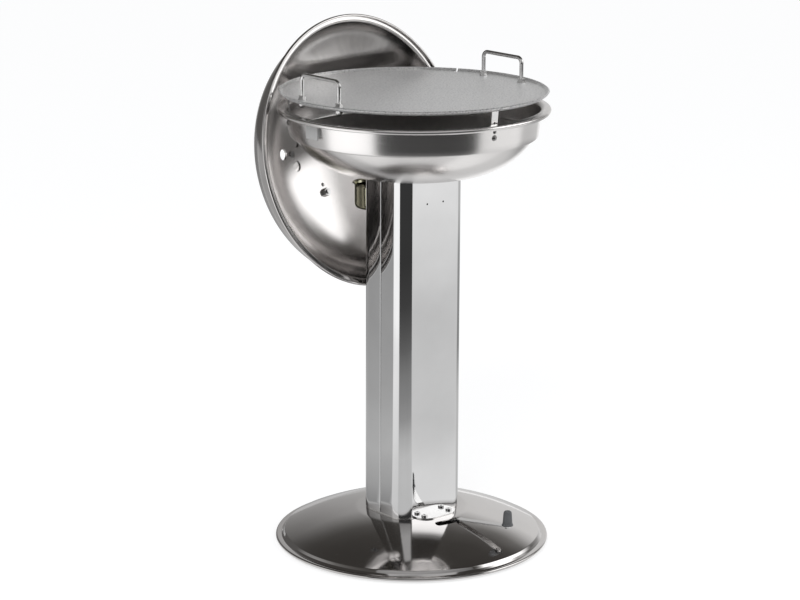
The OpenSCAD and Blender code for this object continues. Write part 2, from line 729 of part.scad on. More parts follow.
// Lid, drawn with its rim at z = 0 and its dome upwards, then hung behind the bowl
module hang() {
    rotate([0, 0, lid_turn]) translate([0, lid_back, lid_z]) rotate([-90 - lid_lean, 0, 0]) children();
}
dome_z = 2 * bead_r;
function dome_at(r, a, b) = dome_z + b * sqrt(max(1 - r * r / (a * a), 0));
lid_path = concat([for (i = [0 : 18]) [dome_a * sin(5 * i), dome_z + dome_b * cos(5 * i)]],
    arc([lid_r - bead_r, bead_r], bead_r, 90, -120, 10));
lid_inside = beside(lid_path, lid_t);
vent_x = 58.5;
vent_dir = 190;
// Frame on the dome's outer face at distance r from the top, +Z along the face's normal
module on_dome(dir, r) {
    rotate([0, 0, dir]) translate([r, 0, dome_at(r, dome_a, dome_b)])
        rotate([0, atan(dome_b / dome_a * r / dome_a / sqrt(1 - r * r / dome_a / dome_a)), 0]) children();
}
// Directions of the three vent holes in the vent's own frame
vent_dirs = [-4, 116, 236];
module vent_frame() { on_dome(vent_dir, vent_x) children(); }
knob_x = 68.5;
knob_dir = 83;
pin_x = 54;
module knob_frame() { on_dome(knob_dir, knob_x) children(); }
vent_pin_d = 6;
module lid_shell() {
    color("silver") hang() difference() {
        spin(concat([[0, lid_h - lid_t], [0, lid_h]], part_of(lid_path, 1, len(lid_path) - 1),
            backwards(part_of(lid_inside, 1, len(lid_path) - 1))), 160);
        vent_frame() {
            for (a = vent_dirs) rotate([0, 0, a]) translate([vent_ring, 0, -15])
                cylinder(h = 30, r = vent_d / 2, $fn = 48);
            translate([0, 0, -10]) rod(20, vent_pin_d + 2 * fit);
        }
        knob_frame() translate([0, 0, -10]) rod(20, m8 + 2 * fit);
        on_dome(knob_dir, pin_x) translate([0, 0, -10]) rod(20, 4 + 2 * fit);
        hook_rivet_spots() translate([0, 0, -8]) rod(16, 5 + 2 * fit);
    }
}
disc_r = vent_ring + vent_d / 2 + 4;
disc_t = 1.5;
disc_lift = 0.4;
disc_curve = 375;
module lid_vent_disc() {
    half = asin(disc_r / disc_curve);
    color("lightgray") hang() vent_frame() difference() {
        union() {
            translate([0, 0, disc_lift - disc_curve]) spin(concat(arc([0, 0], disc_curve, 90, 90 - half, 4),
                arc([0, 0], disc_curve + disc_t, 90 - half, 90, 4)), 96);
            rotate([0, 0, 20]) translate([disc_r - 3, -5, disc_lift - 1.2]) cube([2, 10, 9]);
        }
        translate([0, 0, -10]) rod(20, vent_pin_d + 2 * fit);
        for (a = concat([vent_dirs[0]], [for (d = vent_dirs) d - vent_swing])) rotate([0, 0, a])
            translate([vent_ring, 0, -10]) cylinder(h = 20, r = vent_d / 2, $fn = 48);
    }
}
module lid_vent_rivet() {
    color("silver") hang() vent_frame() {
        translate([0, 0, -lid_t - 1]) rod(lid_t + 1 + disc_lift + disc_t + 1, vent_pin_d);
        translate([0, 0, -lid_t - 2.8]) rod(2.4, 12);
        translate([0, 0, disc_lift + disc_t + seat]) rod(2, 14);
    }
}
module lid_knob() {
    color("dimgray") hang() knob_frame() difference() {
        translate([0, 0, 0.9]) spin(concat([[0, 0], [lid_knob_r * 0.62, 0],
            [lid_knob_r * 0.55, lid_knob_h * 0.35]],
            arc([lid_knob_r * 0.62, lid_knob_h * 0.74], lid_knob_r * 0.38, -60, 90, 8),
            [[0, lid_knob_h * 0.74 + lid_knob_r * 0.38]]), 64);
        translate([0, 0, -eps]) rod(20, m8 + 2 * fit);
    }
}
module lid_knob_stud() {
    color("silver") hang() knob_frame() translate([0, 0, -12]) rod(30, m8);
}
module lid_knob_pin() {
    color("silver") hang() on_dome(knob_dir, pin_x) translate([0, 0, 0.15]) rivet(4, lid_t + 0.3);
}
module lid_knob_nut() {
    color("dimgray") hang() knob_frame() translate([0, 0, -lid_t - 0.6 - nut_high * m8]) hex_nut(m8);
}
// Hook inside the lid. A point of the lid's middle plane, h above the middle and d deep, in the
// frame that is turned with the lid but stands upright
function upright(h, d) = [lid_back + d * cos(lid_lean) + h * sin(lid_lean),
    lid_z + h * cos(lid_lean) - d * sin(lid_lean)];
hook_off = 0.5;
function inner_at(h) = upright(h, dome_at(h, dome_a - lid_t, dome_b - lid_t) - hook_off);
hook_z = rim_z + seat;
hook_t = 2.5;
hook_from = 92;
hook_to = 124;
hook_front = lip_x - curl_r - bowl_t - 3.4;
hook_foot = [for (i = [0 : 4]) inner_at(hook_from + (hook_to - hook_from) * i / 4)];
module lid_hook() {
    color("silver") difference() {
        rotate([0, 0, lid_turn]) translate([hook_w / 2, 0, 0]) rotate([0, -90, 0]) linear_extrude(hook_w)
            polygon([for (p = sheet(concat(hook_foot, [[hook_foot[4][0] - 3, hook_z + hook_t],
                [hook_front - hook_t, hook_z + hook_t], [hook_front - hook_t, hook_z - 5.6]]), -hook_t))
                [p[1], p[0]]]);
        hang() hook_rivet_spots() translate([0, 0, -8]) rod(16, 5 + 2 * fit);
    }
}
hook_rivet_in = 99;
hook_rivet_pitch = 13;
module hook_rivet_spots() {
    for (r = [hook_rivet_in, hook_rivet_in + hook_rivet_pitch]) on_dome(-90, r) children();
}
module lid_hook_rivets() {
    grip = lid_t + hook_off + hook_t;
    color("silver") hang() hook_rivet_spots() translate([0, 0, 0.15]) rivet(5, grip + 0.3);
}

ballast_plate();
ballast_screws();
ballast_pillars();
base_dish();
foot_plate();
foot_screws();
foot_nuts();
shutter_bolt();
shutter_nut();
air_shutter();
air_lever();
lever_rivets();
lever_knob();
lever_knob_screw();
column_front_shell();
column_rear_shell();
seam_rivets();
column_head_plate();
tie_rods();
rod_foot_nuts();
rod_head_nuts();
fire_bowl();
griddle_support_front();
griddle_support_right();
griddle_support_left();
support_screws();
support_pins();
support_nuts();
side_hook();
side_hook_rivets();
fire_pot();
fire_grate();
griddle_plate();
griddle_handle_right();
griddle_handle_left();
handle_washers();
handle_nuts();
handle_cap_nuts();
drip_cup();
cup_hook();
cup_hook_rivets();
cup_bracket();
cup_bracket_screws();
lid_shell();
lid_vent_disc();
lid_vent_rivet();
lid_knob();
lid_knob_stud();
lid_knob_pin();
lid_knob_nut();
lid_hook();
lid_hook_rivets();
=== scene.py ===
import bpy
import bmesh
import json
import math
from mathutils import Matrix, Vector


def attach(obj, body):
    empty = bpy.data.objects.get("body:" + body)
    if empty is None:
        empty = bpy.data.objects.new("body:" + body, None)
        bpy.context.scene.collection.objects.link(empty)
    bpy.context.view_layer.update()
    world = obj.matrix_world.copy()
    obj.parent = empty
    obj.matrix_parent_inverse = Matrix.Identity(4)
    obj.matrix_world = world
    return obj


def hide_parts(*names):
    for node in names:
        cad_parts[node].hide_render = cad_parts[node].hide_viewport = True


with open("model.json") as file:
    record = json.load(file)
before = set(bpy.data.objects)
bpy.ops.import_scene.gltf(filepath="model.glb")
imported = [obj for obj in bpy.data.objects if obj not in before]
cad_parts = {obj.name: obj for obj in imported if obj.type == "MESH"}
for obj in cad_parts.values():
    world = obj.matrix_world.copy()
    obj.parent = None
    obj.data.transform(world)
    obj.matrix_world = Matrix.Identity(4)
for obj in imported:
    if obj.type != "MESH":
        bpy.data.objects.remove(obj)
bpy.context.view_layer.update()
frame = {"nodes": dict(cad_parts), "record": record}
MM = 0.001
SHARP = 35  # degrees at which an edge stays sharp
FINE_SIDES = 384  # facets round a turned piece

# ---------------------------------------------------------------- outline helpers (millimetres)


def arc(cx, cy, r, a0, a1, n):
    """Points of a circle from a0 to a1 in degrees, in n steps."""
    return [(cx + r * math.cos(math.radians(a0 + (a1 - a0) * i / n)),
             cy + r * math.sin(math.radians(a0 + (a1 - a0) * i / n))) for i in range(n + 1)]


def bow(a, b, s, n):
    """Shallow arc from a to b that swells by s to the left."""
    c = math.dist(a, b)
    u = ((b[0] - a[0]) / c, (b[1] - a[1]) / c)
    v = (-u[1], u[0])
    r = (c * c / 4 + s * s) / (2 * s)
    m = ((a[0] + b[0]) / 2 + v[0] * (s - r), (a[1] + b[1]) / 2 + v[1] * (s - r))
    h = math.asin(c / 2 / r)
    out = []
    for i in range(n + 1):
        t = h * (2 * i / n - 1)
        out.append((m[0] + r * (v[0] * math.cos(t) + u[0] * math.sin(t)),
                    m[1] + r * (v[1] * math.cos(t) + u[1] * math.sin(t))))
    return out


def beside(p, t):
    """The outline moved to its right by t."""
    def right(a, b):
        d = math.dist(a, b)
        return (b[1] - a[1]) / d, -(b[0] - a[0]) / d
    n = len(p) - 1
    out = []
    for i in range(n + 1):
        a = right(p[max(i - 1, 0)], p[max(i, 1)])
        b = right(p[min(i, n - 1)], p[min(i + 1, n)])
        m = (a[0] + b[0], a[1] + b[1])
        k = math.hypot(*m)
        m = (m[0] / k, m[1] / k)
        f = t / (m[0] * a[0] + m[1] * a[1])
        out.append((p[i][0] + m[0] * f, p[i][1] + m[1] * f))
    return out


def rounded(p, radii, n=5):
    """The path with the corners named in radii {index: radius} rounded off."""
    out = []
    for i, q in enumerate(p):
        r = radii.get(i, 0)
        if not r:
            out.append(q)
            continue
        a, b = Vector(p[i - 1]) - Vector(q), Vector(p[i + 1]) - Vector(q)
        half = a.angle(b) / 2
        cut = min(r / math.tan(half), a.length * 0.45, b.length * 0.45)
        r = cut * math.tan(half)
        a, b = a.normalized(), b.normalized()
        centre = Vector(q) + (a + b).normalized() * r / math.sin(half)
        s, e = Vector(q) + a * cut - centre, Vector(q) + b * cut - centre
        turn = s.angle_signed(e)
        for k in range(n + 1):
            t = -turn * k / n
            out.append((centre.x + s.x * math.cos(t) - s.y * math.sin(t),
                        centre.y + s.x * math.sin(t) + s.y * math.cos(t)))
    return out


# ---------------------------------------------------------------- mesh helpers


def new_object(name, bm, sharp=SHARP):
    """An object of the mesh, smooth but for its sharp edges, in the scene."""
    mesh = bpy.data.meshes.new(name)
    bmesh.ops.recalc_face_normals(bm, faces=bm.faces)
    bm.to_mesh(mesh)
    bm.free()
    for poly in mesh.polygons:
        poly.use_smooth = True
    mesh.set_sharp_from_angle(angle=math.radians(sharp))
    ob = bpy.data.objects.new(name, mesh)
    bpy.context.scene.collection.objects.link(ob)
    return ob


def lathe(name, outline, place=None):
    """A closed outline of (radius, height) in millimetres turned about Z."""
    bm = bmesh.new()
    rings, sides = [], FINE_SIDES
    for r, z in outline:
        if r < 1e-6:
            rings.append([bm.verts.new((0, 0, z * MM))] * sides)
        else:
            rings.append([bm.verts.new((r * MM * math.cos(2 * math.pi * k / sides),
                                        r * MM * math.sin(2 * math.pi * k / sides), z * MM))
                          for k in range(sides)])
    for i, a in enumerate(rings):
        b = rings[(i + 1) % len(rings)]
        for k in range(sides):
            quad = []
            for v in (a[k], a[(k + 1) % sides], b[(k + 1) % sides], b[k]):
                if v not in quad:
                    quad.append(v)
            if len(quad) > 2:
                try:
                    bm.faces.new(quad)
                except ValueError:
                    pass
    if place is not None:
        bmesh.ops.transform(bm, matrix=place, verts=bm.verts)
    return new_object(name, bm)


def cylinder(r, z0, z1, place=None, sides=64):
    """A cutter along Z, in millimetres."""
    bm = bmesh.new()
    bmesh.ops.create_cone(bm, cap_ends=True, segments=sides, radius1=r * MM, radius2=r * MM,
                          depth=(z1 - z0) * MM)
    bmesh.ops.translate(bm, verts=bm.verts, vec=(0, 0, (z0 + z1) / 2 * MM))
    if place is not None:
        bmesh.ops.transform(bm, matrix=place, verts=bm.verts)
    return new_object("cutter", bm)


def prism(points, z0, z1, name="cutter", place=None):
    """A flat outline in millimetres pushed up from z0 to z1."""
    bm = bmesh.new()
    face = bm.faces.new([bm.verts.new((x * MM, y * MM, z0 * MM)) for x, y in points])
    got = bmesh.ops.extrude_face_region(bm, geom=[face])
    bmesh.ops.translate(bm, verts=[v for v in got["geom"] if isinstance(v, bmesh.types.BMVert)],
                        vec=(0, 0, (z1 - z0) * MM))
    if place is not None:
        bmesh.ops.transform(bm, matrix=place, verts=bm.verts)
    return new_object(name, bm)


def carve(ob, cutters):
    """Cuts the cutters out of the object and deletes them."""
    for c in cutters:
        m = ob.modifiers.new("cut", "BOOLEAN")
        m.operation, m.solver, m.object = "DIFFERENCE", "EXACT", c
    dg = bpy.context.evaluated_depsgraph_get()
    mesh = bpy.data.meshes.new_from_object(ob.evaluated_get(dg))
    ob.modifiers.clear()
    ob.data = mesh
    for c in cutters:
        bpy.data.objects.remove(c)
    for poly in mesh.polygons:
        poly.use_smooth = True
    mesh.set_sharp_from_angle(angle=math.radians(SHARP))


def finish_piece(ob, body, mat, slot, *nodes):
    """Gives the object its material and its body, and hides the nodes it replaces. The slot is not
    used.
    """
    ob.data.materials.clear()
    ob.data.materials.append(mat)
    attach(ob, body)
    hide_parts(*nodes)


# ---------------------------------------------------------------- materials


def material(name, metallic):
    mat = bpy.data.materials.new(name)
    mat.use_nodes = True
    tree = mat.node_tree
    bsdf = tree.nodes["Principled BSDF"]
    bsdf.inputs["Metallic"].default_value = metallic
    return mat, tree, tree.links, bsdf


def node(tree, kind, **inputs):
    """A new node; each keyword sets an input of that name, or else an attribute."""
    n = tree.nodes.new(kind)
    for key, value in inputs.items():
        if key in n.inputs:
            n.inputs[key].default_value = value
        else:
            setattr(n, key, value)
    return n


def noise_at(tree, scale, detail, stretch=(1, 1, 1), roughness=0.5, vector=None):
    """Noise over the object's own metres, or over the given vector."""
    if vector is None:
        vector = tree.nodes.new("ShaderNodeTexCoord").outputs["Object"]
    mapping = node(tree, "ShaderNodeMapping")
    mapping.inputs["Scale"].default_value = stretch
    tree.links.new(vector, mapping.inputs["Vector"])
    n = node(tree, "ShaderNodeTexNoise", Scale=scale, Detail=detail, Roughness=roughness)
    tree.links.new(mapping.outputs["Vector"], n.inputs["Vector"])
    return n.outputs["Fac"]


def ramp(tree, value, *stops):
    """The colours of the stops (position, colour) by the value."""
    r = tree.nodes.new("ShaderNodeValToRGB")
    elements = r.color_ramp.elements
    for e, (pos, col) in ((elements[0], stops[0]), (elements[1], stops[-1])):
        e.position = pos
        e.color = (*col, 1)
    for pos, col in stops[1:-1]:
        elements.new(pos).color = (*col, 1)
    tree.links.new(value, r.inputs["Fac"])
    return r.outputs["Color"]


def span(tree, value, low, high):
    """The value from 0 to 1 spread from low to high."""
    m = node(tree, "ShaderNodeMapRange")
    m.inputs["To Min"].default_value, m.inputs["To Max"].default_value = low, high
    tree.links.new(value, m.inputs["Value"])
    return m.outputs["Result"]


def math_node(tree, kind, a, b=None, c=0.5):
    """Arithmetic on numbers or sockets; c serves only the kinds with three inputs."""
    m = tree.nodes.new("ShaderNodeMath")
    m.operation = kind
    for i, value in enumerate((a, b, c)):
        if isinstance(value, (int, float)):
            m.inputs[i].default_value = value
        elif value is not None:
            tree.links.new(value, m.inputs[i])
    return m.outputs[0]


def blend(tree, factor, a, b):
    """a where the factor is 0, b where it is 1; each is a grey or a socket."""
    m = node(tree, "ShaderNodeMix", data_type="RGBA")
    tree.links.new(factor, m.inputs["Factor"])
    for value, key in ((a, "A"), (b, "B")):
        if isinstance(value, (int, float)):
            m.inputs[key].default_value = (value, value, value, 1)
        else:
            tree.links.new(value, m.inputs[key])
    return m.outputs["Result"]


def round_coords(tree, centre=(0, 0, 0), turn=(0, 0, 0)):
    """About a turned part's axis: distance, the direction's x and y, and height."""
    tc = tree.nodes.new("ShaderNodeTexCoord")
    mp = node(tree, "ShaderNodeMapping")
    mp.vector_type = "TEXTURE"
    mp.inputs["Location"].default_value = centre
    mp.inputs["Rotation"].default_value = turn
    tree.links.new(tc.outputs["Object"], mp.inputs["Vector"])
    sep = tree.nodes.new("ShaderNodeSeparateXYZ")
    tree.links.new(mp.outputs["Vector"], sep.inputs["Vector"])
    flat = node(tree, "ShaderNodeCombineXYZ")
    tree.links.new(sep.outputs["X"], flat.inputs["X"])
    tree.links.new(sep.outputs["Y"], flat.inputs["Y"])
    length = node(tree, "ShaderNodeVectorMath", operation="LENGTH")
    tree.links.new(flat.outputs["Vector"], length.inputs[0])
    unit = node(tree, "ShaderNodeVectorMath", operation="NORMALIZE")
    tree.links.new(flat.outputs["Vector"], unit.inputs[0])
    usep = tree.nodes.new("ShaderNodeSeparateXYZ")
    tree.links.new(unit.outputs["Vector"], usep.inputs["Vector"])
    return length.outputs["Value"], usep.outputs["X"], usep.outputs["Y"], sep.outputs["Z"]


def height_of(tree):
    sep = tree.nodes.new("ShaderNodeSeparateXYZ")
    tree.links.new(tree.nodes.new("ShaderNodeTexCoord").outputs["Object"], sep.inputs["Vector"])
    return sep.outputs["Z"]


def combine(tree, x, y, z):
    """A vector out of numbers or sockets."""
    c = tree.nodes.new("ShaderNodeCombineXYZ")
    for value, key in ((x, "X"), (y, "Y"), (z, "Z")):
        if isinstance(value, (int, float)):
            c.inputs[key].default_value = value
        else:
            tree.links.new(value, c.inputs[key])
    return c.outputs["Vector"]


def bump(tree, bsdf, height, strength, depth, under=None):
    """Bends the shader's normal by the height, on top of the bump under it, and returns it."""
    b = node(tree, "ShaderNodeBump", Strength=strength, Distance=depth)
    tree.links.new(height, b.inputs["Height"])
    if under is not None:
        tree.links.new(under, b.inputs["Normal"])
    tree.links.new(b.outputs["Normal"], bsdf.inputs["Normal"])
    return b.outputs["Normal"]


def polished(name, tint, rough, wave, turned=None, lines=0.02):
    """Bright polished stainless sheet: slight waviness, fine polishing lines, a little haze."""
    mat, tree, links, bsdf = material(name, 1.0)
    dark = tuple(c * 0.90 for c in tint)
    links.new(ramp(tree, noise_at(tree, 7, 4), (0.3, dark), (0.7, tint)), bsdf.inputs["Base Color"])
    links.new(span(tree, noise_at(tree, 16, 5), *rough), bsdf.inputs["Roughness"])
    if turned is None:
        streaks = noise_at(tree, 60, 3, (1, 1, 0.02))
    else:
        radius, _, _, height = round_coords(tree, *turned)
        streaks = noise_at(tree, 260, 3, vector=combine(tree, radius, 0.0, height))
    waves = bump(tree, bsdf, noise_at(tree, 5, 1), wave, 0.02)
    bump(tree, bsdf, streaks, lines, 0.0006, waves)
    return mat


GROUND_LINES = 900  # scale of the grinding lines


def satin(name, tint, rough, turned=None, metallic=1.0):
    """Finely ground stainless with lines that run round the part."""
    mat, tree, links, bsdf = material(name, metallic)
    if turned is None:
        lines = noise_at(tree, GROUND_LINES, 3, (1, 0.06, 1))
    else:
        radius, _, _, height = round_coords(tree, *turned)
        lines = noise_at(tree, GROUND_LINES, 4, vector=combine(tree, radius, 0.0, height),
                         roughness=0.6)
    low = tuple(c * 0.93 for c in tint)
    links.new(ramp(tree, noise_at(tree, 12, 4), (0.25, low), (0.75, tint)),
              bsdf.inputs["Base Color"])
    links.new(span(tree, lines, *rough), bsdf.inputs["Roughness"])
    bump(tree, bsdf, lines, 0.06, 0.0004)
    return mat


UNDERSIDE_SHADE_Z = 0.8007  # painted shade: the griddle is painted darker below this height, on its underside


def blasted(name):
    """Griddle plate: bead blasted steel with a coarse sparkling grain and painted shade underneath.
    """
    mat, tree, links, bsdf = material(name, 0.80)
    bsdf.inputs["Sheen Weight"].default_value = 0.40
    bsdf.inputs["Sheen Roughness"].default_value = 0.32
    fine = noise_at(tree, 330, 2, roughness=0.6)
    broad = noise_at(tree, 9, 4)
    mix = node(tree, "ShaderNodeMix", data_type="RGBA")
    mix.inputs["Factor"].default_value = 0.25
    links.new(ramp(tree, fine, (0.36, (0.56, 0.56, 0.56)), (0.5, (0.88, 0.88, 0.875)),
                   (0.60, (1.0, 1.0, 0.99))), mix.inputs["A"])
    links.new(ramp(tree, broad, (0.3, (0.88, 0.88, 0.88)), (0.7, (1.0, 1.0, 0.99))),
              mix.inputs["B"])
    # painted shade: the plate's underside gets dark tones
    above = math_node(tree, "GREATER_THAN", height_of(tree), UNDERSIDE_SHADE_Z)
    underside_shade = ramp(tree, broad, (0.3, (0.14, 0.125, 0.115)), (0.7, (0.22, 0.20, 0.19)))
    links.new(blend(tree, above, underside_shade, mix.outputs["Result"]), bsdf.inputs["Base Color"])
    links.new(span(tree, fine, 0.34, 0.48), bsdf.inputs["Roughness"])
    bump(tree, bsdf, fine, 0.22, 0.0008)
    return mat


def mottled(name, metallic, tones, rough, grain):
    """A finish out of three noises, each led by its scale and detail: tones (then the stops),
    rough (then low and high) and grain (then strength and depth)."""
    mat, tree, links, bsdf = material(name, metallic)
    links.new(ramp(tree, noise_at(tree, *tones[:2]), *tones[2]), bsdf.inputs["Base Color"])
    links.new(span(tree, noise_at(tree, *rough[:2]), *rough[2:]), bsdf.inputs["Roughness"])
    bump(tree, bsdf, noise_at(tree, *grain[:2]), *grain[2:])
    return mat


def bright_wire(name, tint, rough):
    low = tuple(c * 0.82 for c in tint)
    return mottled(name, 1.0, (120, 4, ((0.3, low), (0.7, tint))),
                   (300, 3, rough * 0.7, rough * 1.6), (700, 3, 0.08, 0.0003))


# how the hung lid leans, is turned and stands; its own axis is Z before that
LID_LEAN, LID_TURN = math.radians(12.8), math.radians(5.5)
LID_PLACE = (Matrix.Rotation(LID_TURN, 4, "Z") @ Matrix.Translation(Vector((0, 0.1162, 0.6878)))
             @ Matrix.Rotation(-math.pi / 2 - LID_LEAN, 4, "X"))

# the axes of the turned pieces: a point and a turn
MAIN_AXIS = ((0, 0, 0), (0, 0, 0))
CUP_AXIS = ((0, 0.115, 0), (0, 0, 0))
LID_AXIS = (tuple(LID_PLACE.translation), tuple(LID_PLACE.to_euler("XYZ")))

base_steel = polished("base_polish", tint=(0.80, 0.78, 0.77), rough=(0.06, 0.11), wave=0.004,
                      turned=MAIN_AXIS)
column_steel = polished("column_polish", tint=(0.80, 0.80, 0.802), rough=(0.02, 0.05), wave=0.008)
lid_steel = polished("lid_polish", tint=(0.80, 0.78, 0.77), rough=(0.13, 0.18), wave=0.002,
                     turned=LID_AXIS, lines=0.004)
bowl_steel = satin("bowl_satin", tint=(0.95, 0.93, 0.92), rough=(0.19, 0.27), turned=MAIN_AXIS)
plain_satin = satin("sheet_satin", tint=(0.92, 0.915, 0.91), rough=(0.20, 0.30))
hook_steel = satin("hook_satin", tint=(0.64, 0.64, 0.635), rough=(0.38, 0.50), metallic=0.55)
hidden_steel = satin("plain_steel", tint=(0.45, 0.45, 0.45), rough=(0.3, 0.45))
cup_steel = satin("cup_satin", tint=(0.50, 0.49, 0.36), rough=(0.10, 0.18), turned=CUP_AXIS)
griddle_steel = blasted("griddle_blast")
wire_steel = bright_wire("wire_bright", tint=(0.92, 0.915, 0.91), rough=0.09)
fastener_steel = bright_wire("fastener_bright", tint=(0.66, 0.655, 0.65), rough=0.10)
screw_steel = bright_wire("screw_dark", tint=(0.40, 0.395, 0.39), rough=0.16)
fire_steel = mottled("fire_tinted", 1.0,
                     (28, 5, ((0.25, (0.16, 0.13, 0.11)), (0.5, (0.26, 0.23, 0.21)),
                              (0.75, (0.34, 0.32, 0.31)))),
                     (90, 4, 0.35, 0.6), (400, 4, 0.2, 0.0006))
ballast_paint = mottled("ballast_paint", 0.0,
                        (40, 5, ((0.3, (0.035, 0.035, 0.036)), (0.7, (0.06, 0.06, 0.062)))),
                        (200, 3, 0.5, 0.7), (500, 4, 0.3, 0.0006))
knob_grey = mottled("knob_grey", 0.0,
                    (60, 5, ((0.3, (0.085, 0.087, 0.09)), (0.7, (0.125, 0.128, 0.132)))),
                    (900, 2, 0.38, 0.52), (1400, 2, 0.12, 0.0003))

by_slot = {"polished_steel": column_steel, "satin_steel": plain_satin,
           "griddle_steel": griddle_steel, "bright_fastener": fastener_steel,
           "hidden_steel": hidden_steel, "fire_steel": fire_steel, "ballast": ballast_paint,
           "knob": knob_grey}
special = {"support_screws": screw_steel, "support_pins": screw_steel, "side_hook": hook_steel,
           "griddle_handle_right": wire_steel, "griddle_handle_left": wire_steel,
           "drip_cup": cup_steel, "cup_hook": plain_satin, "fire_bowl": bowl_steel,
           "base_dish": base_steel, "lid_shell": lid_steel, "lid_vent_disc": lid_steel}
slot_of = {s["node"]: s["material_slot"] for s in frame["record"]["subparts"]}
for name, ob in frame["nodes"].items():
    ob.data.materials.clear()
    ob.data.materials.append(special.get(name, by_slot[slot_of[name]]))

# ---------------------------------------------------------------- base dish with its slot

DISH_TOP, DISH_SHEET, DISH_BORE = 58, 1.5, 12
SLOPE_STEPS = 60
slope_end = SLOPE_STEPS + 1  # index of the slope's last point, after the flat top's first one
dish = ([(96, DISH_TOP)] + bow((102, 57.1), (227, 16.5), 4.5, SLOPE_STEPS)
        + [(230, 11.9), (233, 9)])
dish = rounded(dish, {slope_end: 6, slope_end + 1: 2}) + arc(240, 6, 3, 90, -120, 20)
base = lathe("base_shell", [(DISH_BORE, DISH_TOP - DISH_SHEET), (DISH_BORE, DISH_TOP)] + dish
             + beside(dish, DISH_SHEET)[::-1])

# nine air openings that the shutter disc covers
AIR_OPENINGS, AIR_HALF_ANGLE, AIR_FROM, AIR_TO = 9, 18, 18, 44
cutters = []
for i in range(AIR_OPENINGS):
    a = i * 360 / AIR_OPENINGS
    cutters.append(prism(arc(0, 0, AIR_FROM, a - AIR_HALF_ANGLE, a + AIR_HALF_ANGLE, 8)
                         + arc(0, 0, AIR_TO, a + AIR_HALF_ANGLE, a - AIR_HALF_ANGLE, 14), 50, 65))

# the lever's curved slot with round ends
SLOT_R, SLOT_HALF, SLOT_FROM, SLOT_TO = 107, 7, -103.5, -81.5


def slot_end(a, a0, a1):
    a = math.radians(a)
    return arc(SLOT_R * math.cos(a), SLOT_R * math.sin(a), SLOT_HALF, a0, a1, 12)


cutters.append(prism(arc(0, 0, SLOT_R + SLOT_HALF, SLOT_FROM, SLOT_TO, 24)
                     + slot_end(SLOT_TO, SLOT_TO + 12, SLOT_TO + 168)
                     + arc(0, 0, SLOT_R - SLOT_HALF, SLOT_TO, SLOT_FROM, 24)
                     + slot_end(SLOT_FROM, SLOT_FROM + 192, SLOT_FROM + 348), 40, 70))

# holes for the screws of the foot plate
SCREW_X, SCREW_Y, SCREW_HOLE_R = 28, 68, 3.08
for x in (-SCREW_X, SCREW_X):
    for y in (-SCREW_Y, SCREW_Y):
        cutters.append(cylinder(SCREW_HOLE_R, 50, 65,
                                Matrix.Translation(Vector((x, y, 0)) * MM), 32))
carve(base, cutters)
finish_piece(base, "stand", base_steel, "polished_steel", "base_dish")

# ---------------------------------------------------------------- column shells

COLUMN_FOOT, COLUMN_TOP = 60.5, 664
SEAM_EDGE_R = 1.3
RIVET_X, RIVET_HOLE_R = 67, 2.08
FACE_HOLE_X, FACE_HOLE_Z, FACE_HOLE_R = 18, 620, 1.7


def shell_outline(sign):
    """Half of the rounded column section with thin returned edges at the seam."""
    w, d, r = 73, 58, 27  # half width, half depth and corner
    t, g, fold = 1.8, 0.4, 12  # sheet, half of the seam and width of the returned edge
    outer = [(w, -g)] + arc(w - r, -(d - r), r, 0, -90, 24)
    outer += arc(-(w - r), -(d - r), r, -90, -180, 24) + [(-w, -g)]
    wi, di, ri = w - t, d - t, r - t
    inner = [(-(w - fold), -g), (-(w - fold), -g - t), (-wi, -g - t)]
    inner += arc(-(wi - ri), -(di - ri), ri, 180, 270, 16)
    inner += arc(wi - ri, -(di - ri), ri, 270, 360, 16)
    inner += [(wi, -g - t), (w - fold, -g - t), (w - fold, -g)]
    path = rounded(outer + inner, {0: SEAM_EDGE_R, len(outer) - 1: SEAM_EDGE_R})
    return [(x, y * sign) for x, y in path]


def across(x, y0, y1, z, r):
    """A cutter along Y."""
    return cylinder(r, y0, y1, Matrix.Translation(Vector((x, 0, z)) * MM)
                    @ Matrix.Rotation(-math.pi / 2, 4, "X"), 32)


def rivet_holes():
    return [across(s * RIVET_X, -10, 10, COLUMN_FOOT + k * (COLUMN_TOP - COLUMN_FOOT), RIVET_HOLE_R)
            for k in (0.08, 0.36, 0.64, 0.92) for s in (-1, 1)]


front = prism(shell_outline(1), COLUMN_FOOT, COLUMN_TOP, "column_front")
carve(front, [across(s * FACE_HOLE_X, -70, -50, FACE_HOLE_Z, FACE_HOLE_R) for s in (-1, 1)]
      + rivet_holes())
rear = prism(shell_outline(-1), COLUMN_FOOT, COLUMN_TOP, "column_rear")
carve(rear, rivet_holes())
finish_piece(front, "stand", column_steel, "polished_steel", "column_front_shell")
finish_piece(rear, "stand", column_steel, "polished_steel", "column_rear_shell")

# ---------------------------------------------------------------- fire bowl

BOWL_FLOOR, CREASE_R, CREASE_Z, WALL_TOP = 666.5, 215.2, 735, 774.3
BOWL_SHEET, LIP_R, BEAD_R = 2, 5.7, 2.4
lean = math.tan(math.radians(5.25))
lip_x = CREASE_R + (WALL_TOP - CREASE_Z) * lean + LIP_R
path = ([(54, BOWL_FLOOR)] + bow((98, BOWL_FLOOR), (207.5, 731), -16, 60)
        + [(214.4, 732.2), (CREASE_R, CREASE_Z)])
path = rounded(path, {1: 18, 61: 3.0, 62: 2.0}, 6)
path += [(CREASE_R + k * lean, CREASE_Z + k) for k in (8, 16, 24, 32)]
path += arc(lip_x, WALL_TOP, LIP_R, 174.75, 82, 16)
path += arc(lip_x + 7, WALL_TOP + BEAD_R, BEAD_R, 75, -55, 16)
bowl = lathe("bowl_shell", path + beside(path, -BOWL_SHEET)[::-1])
finish_piece(bowl, "stand", bowl_steel, "satin_steel", "fire_bowl")

# ---------------------------------------------------------------- griddle plate

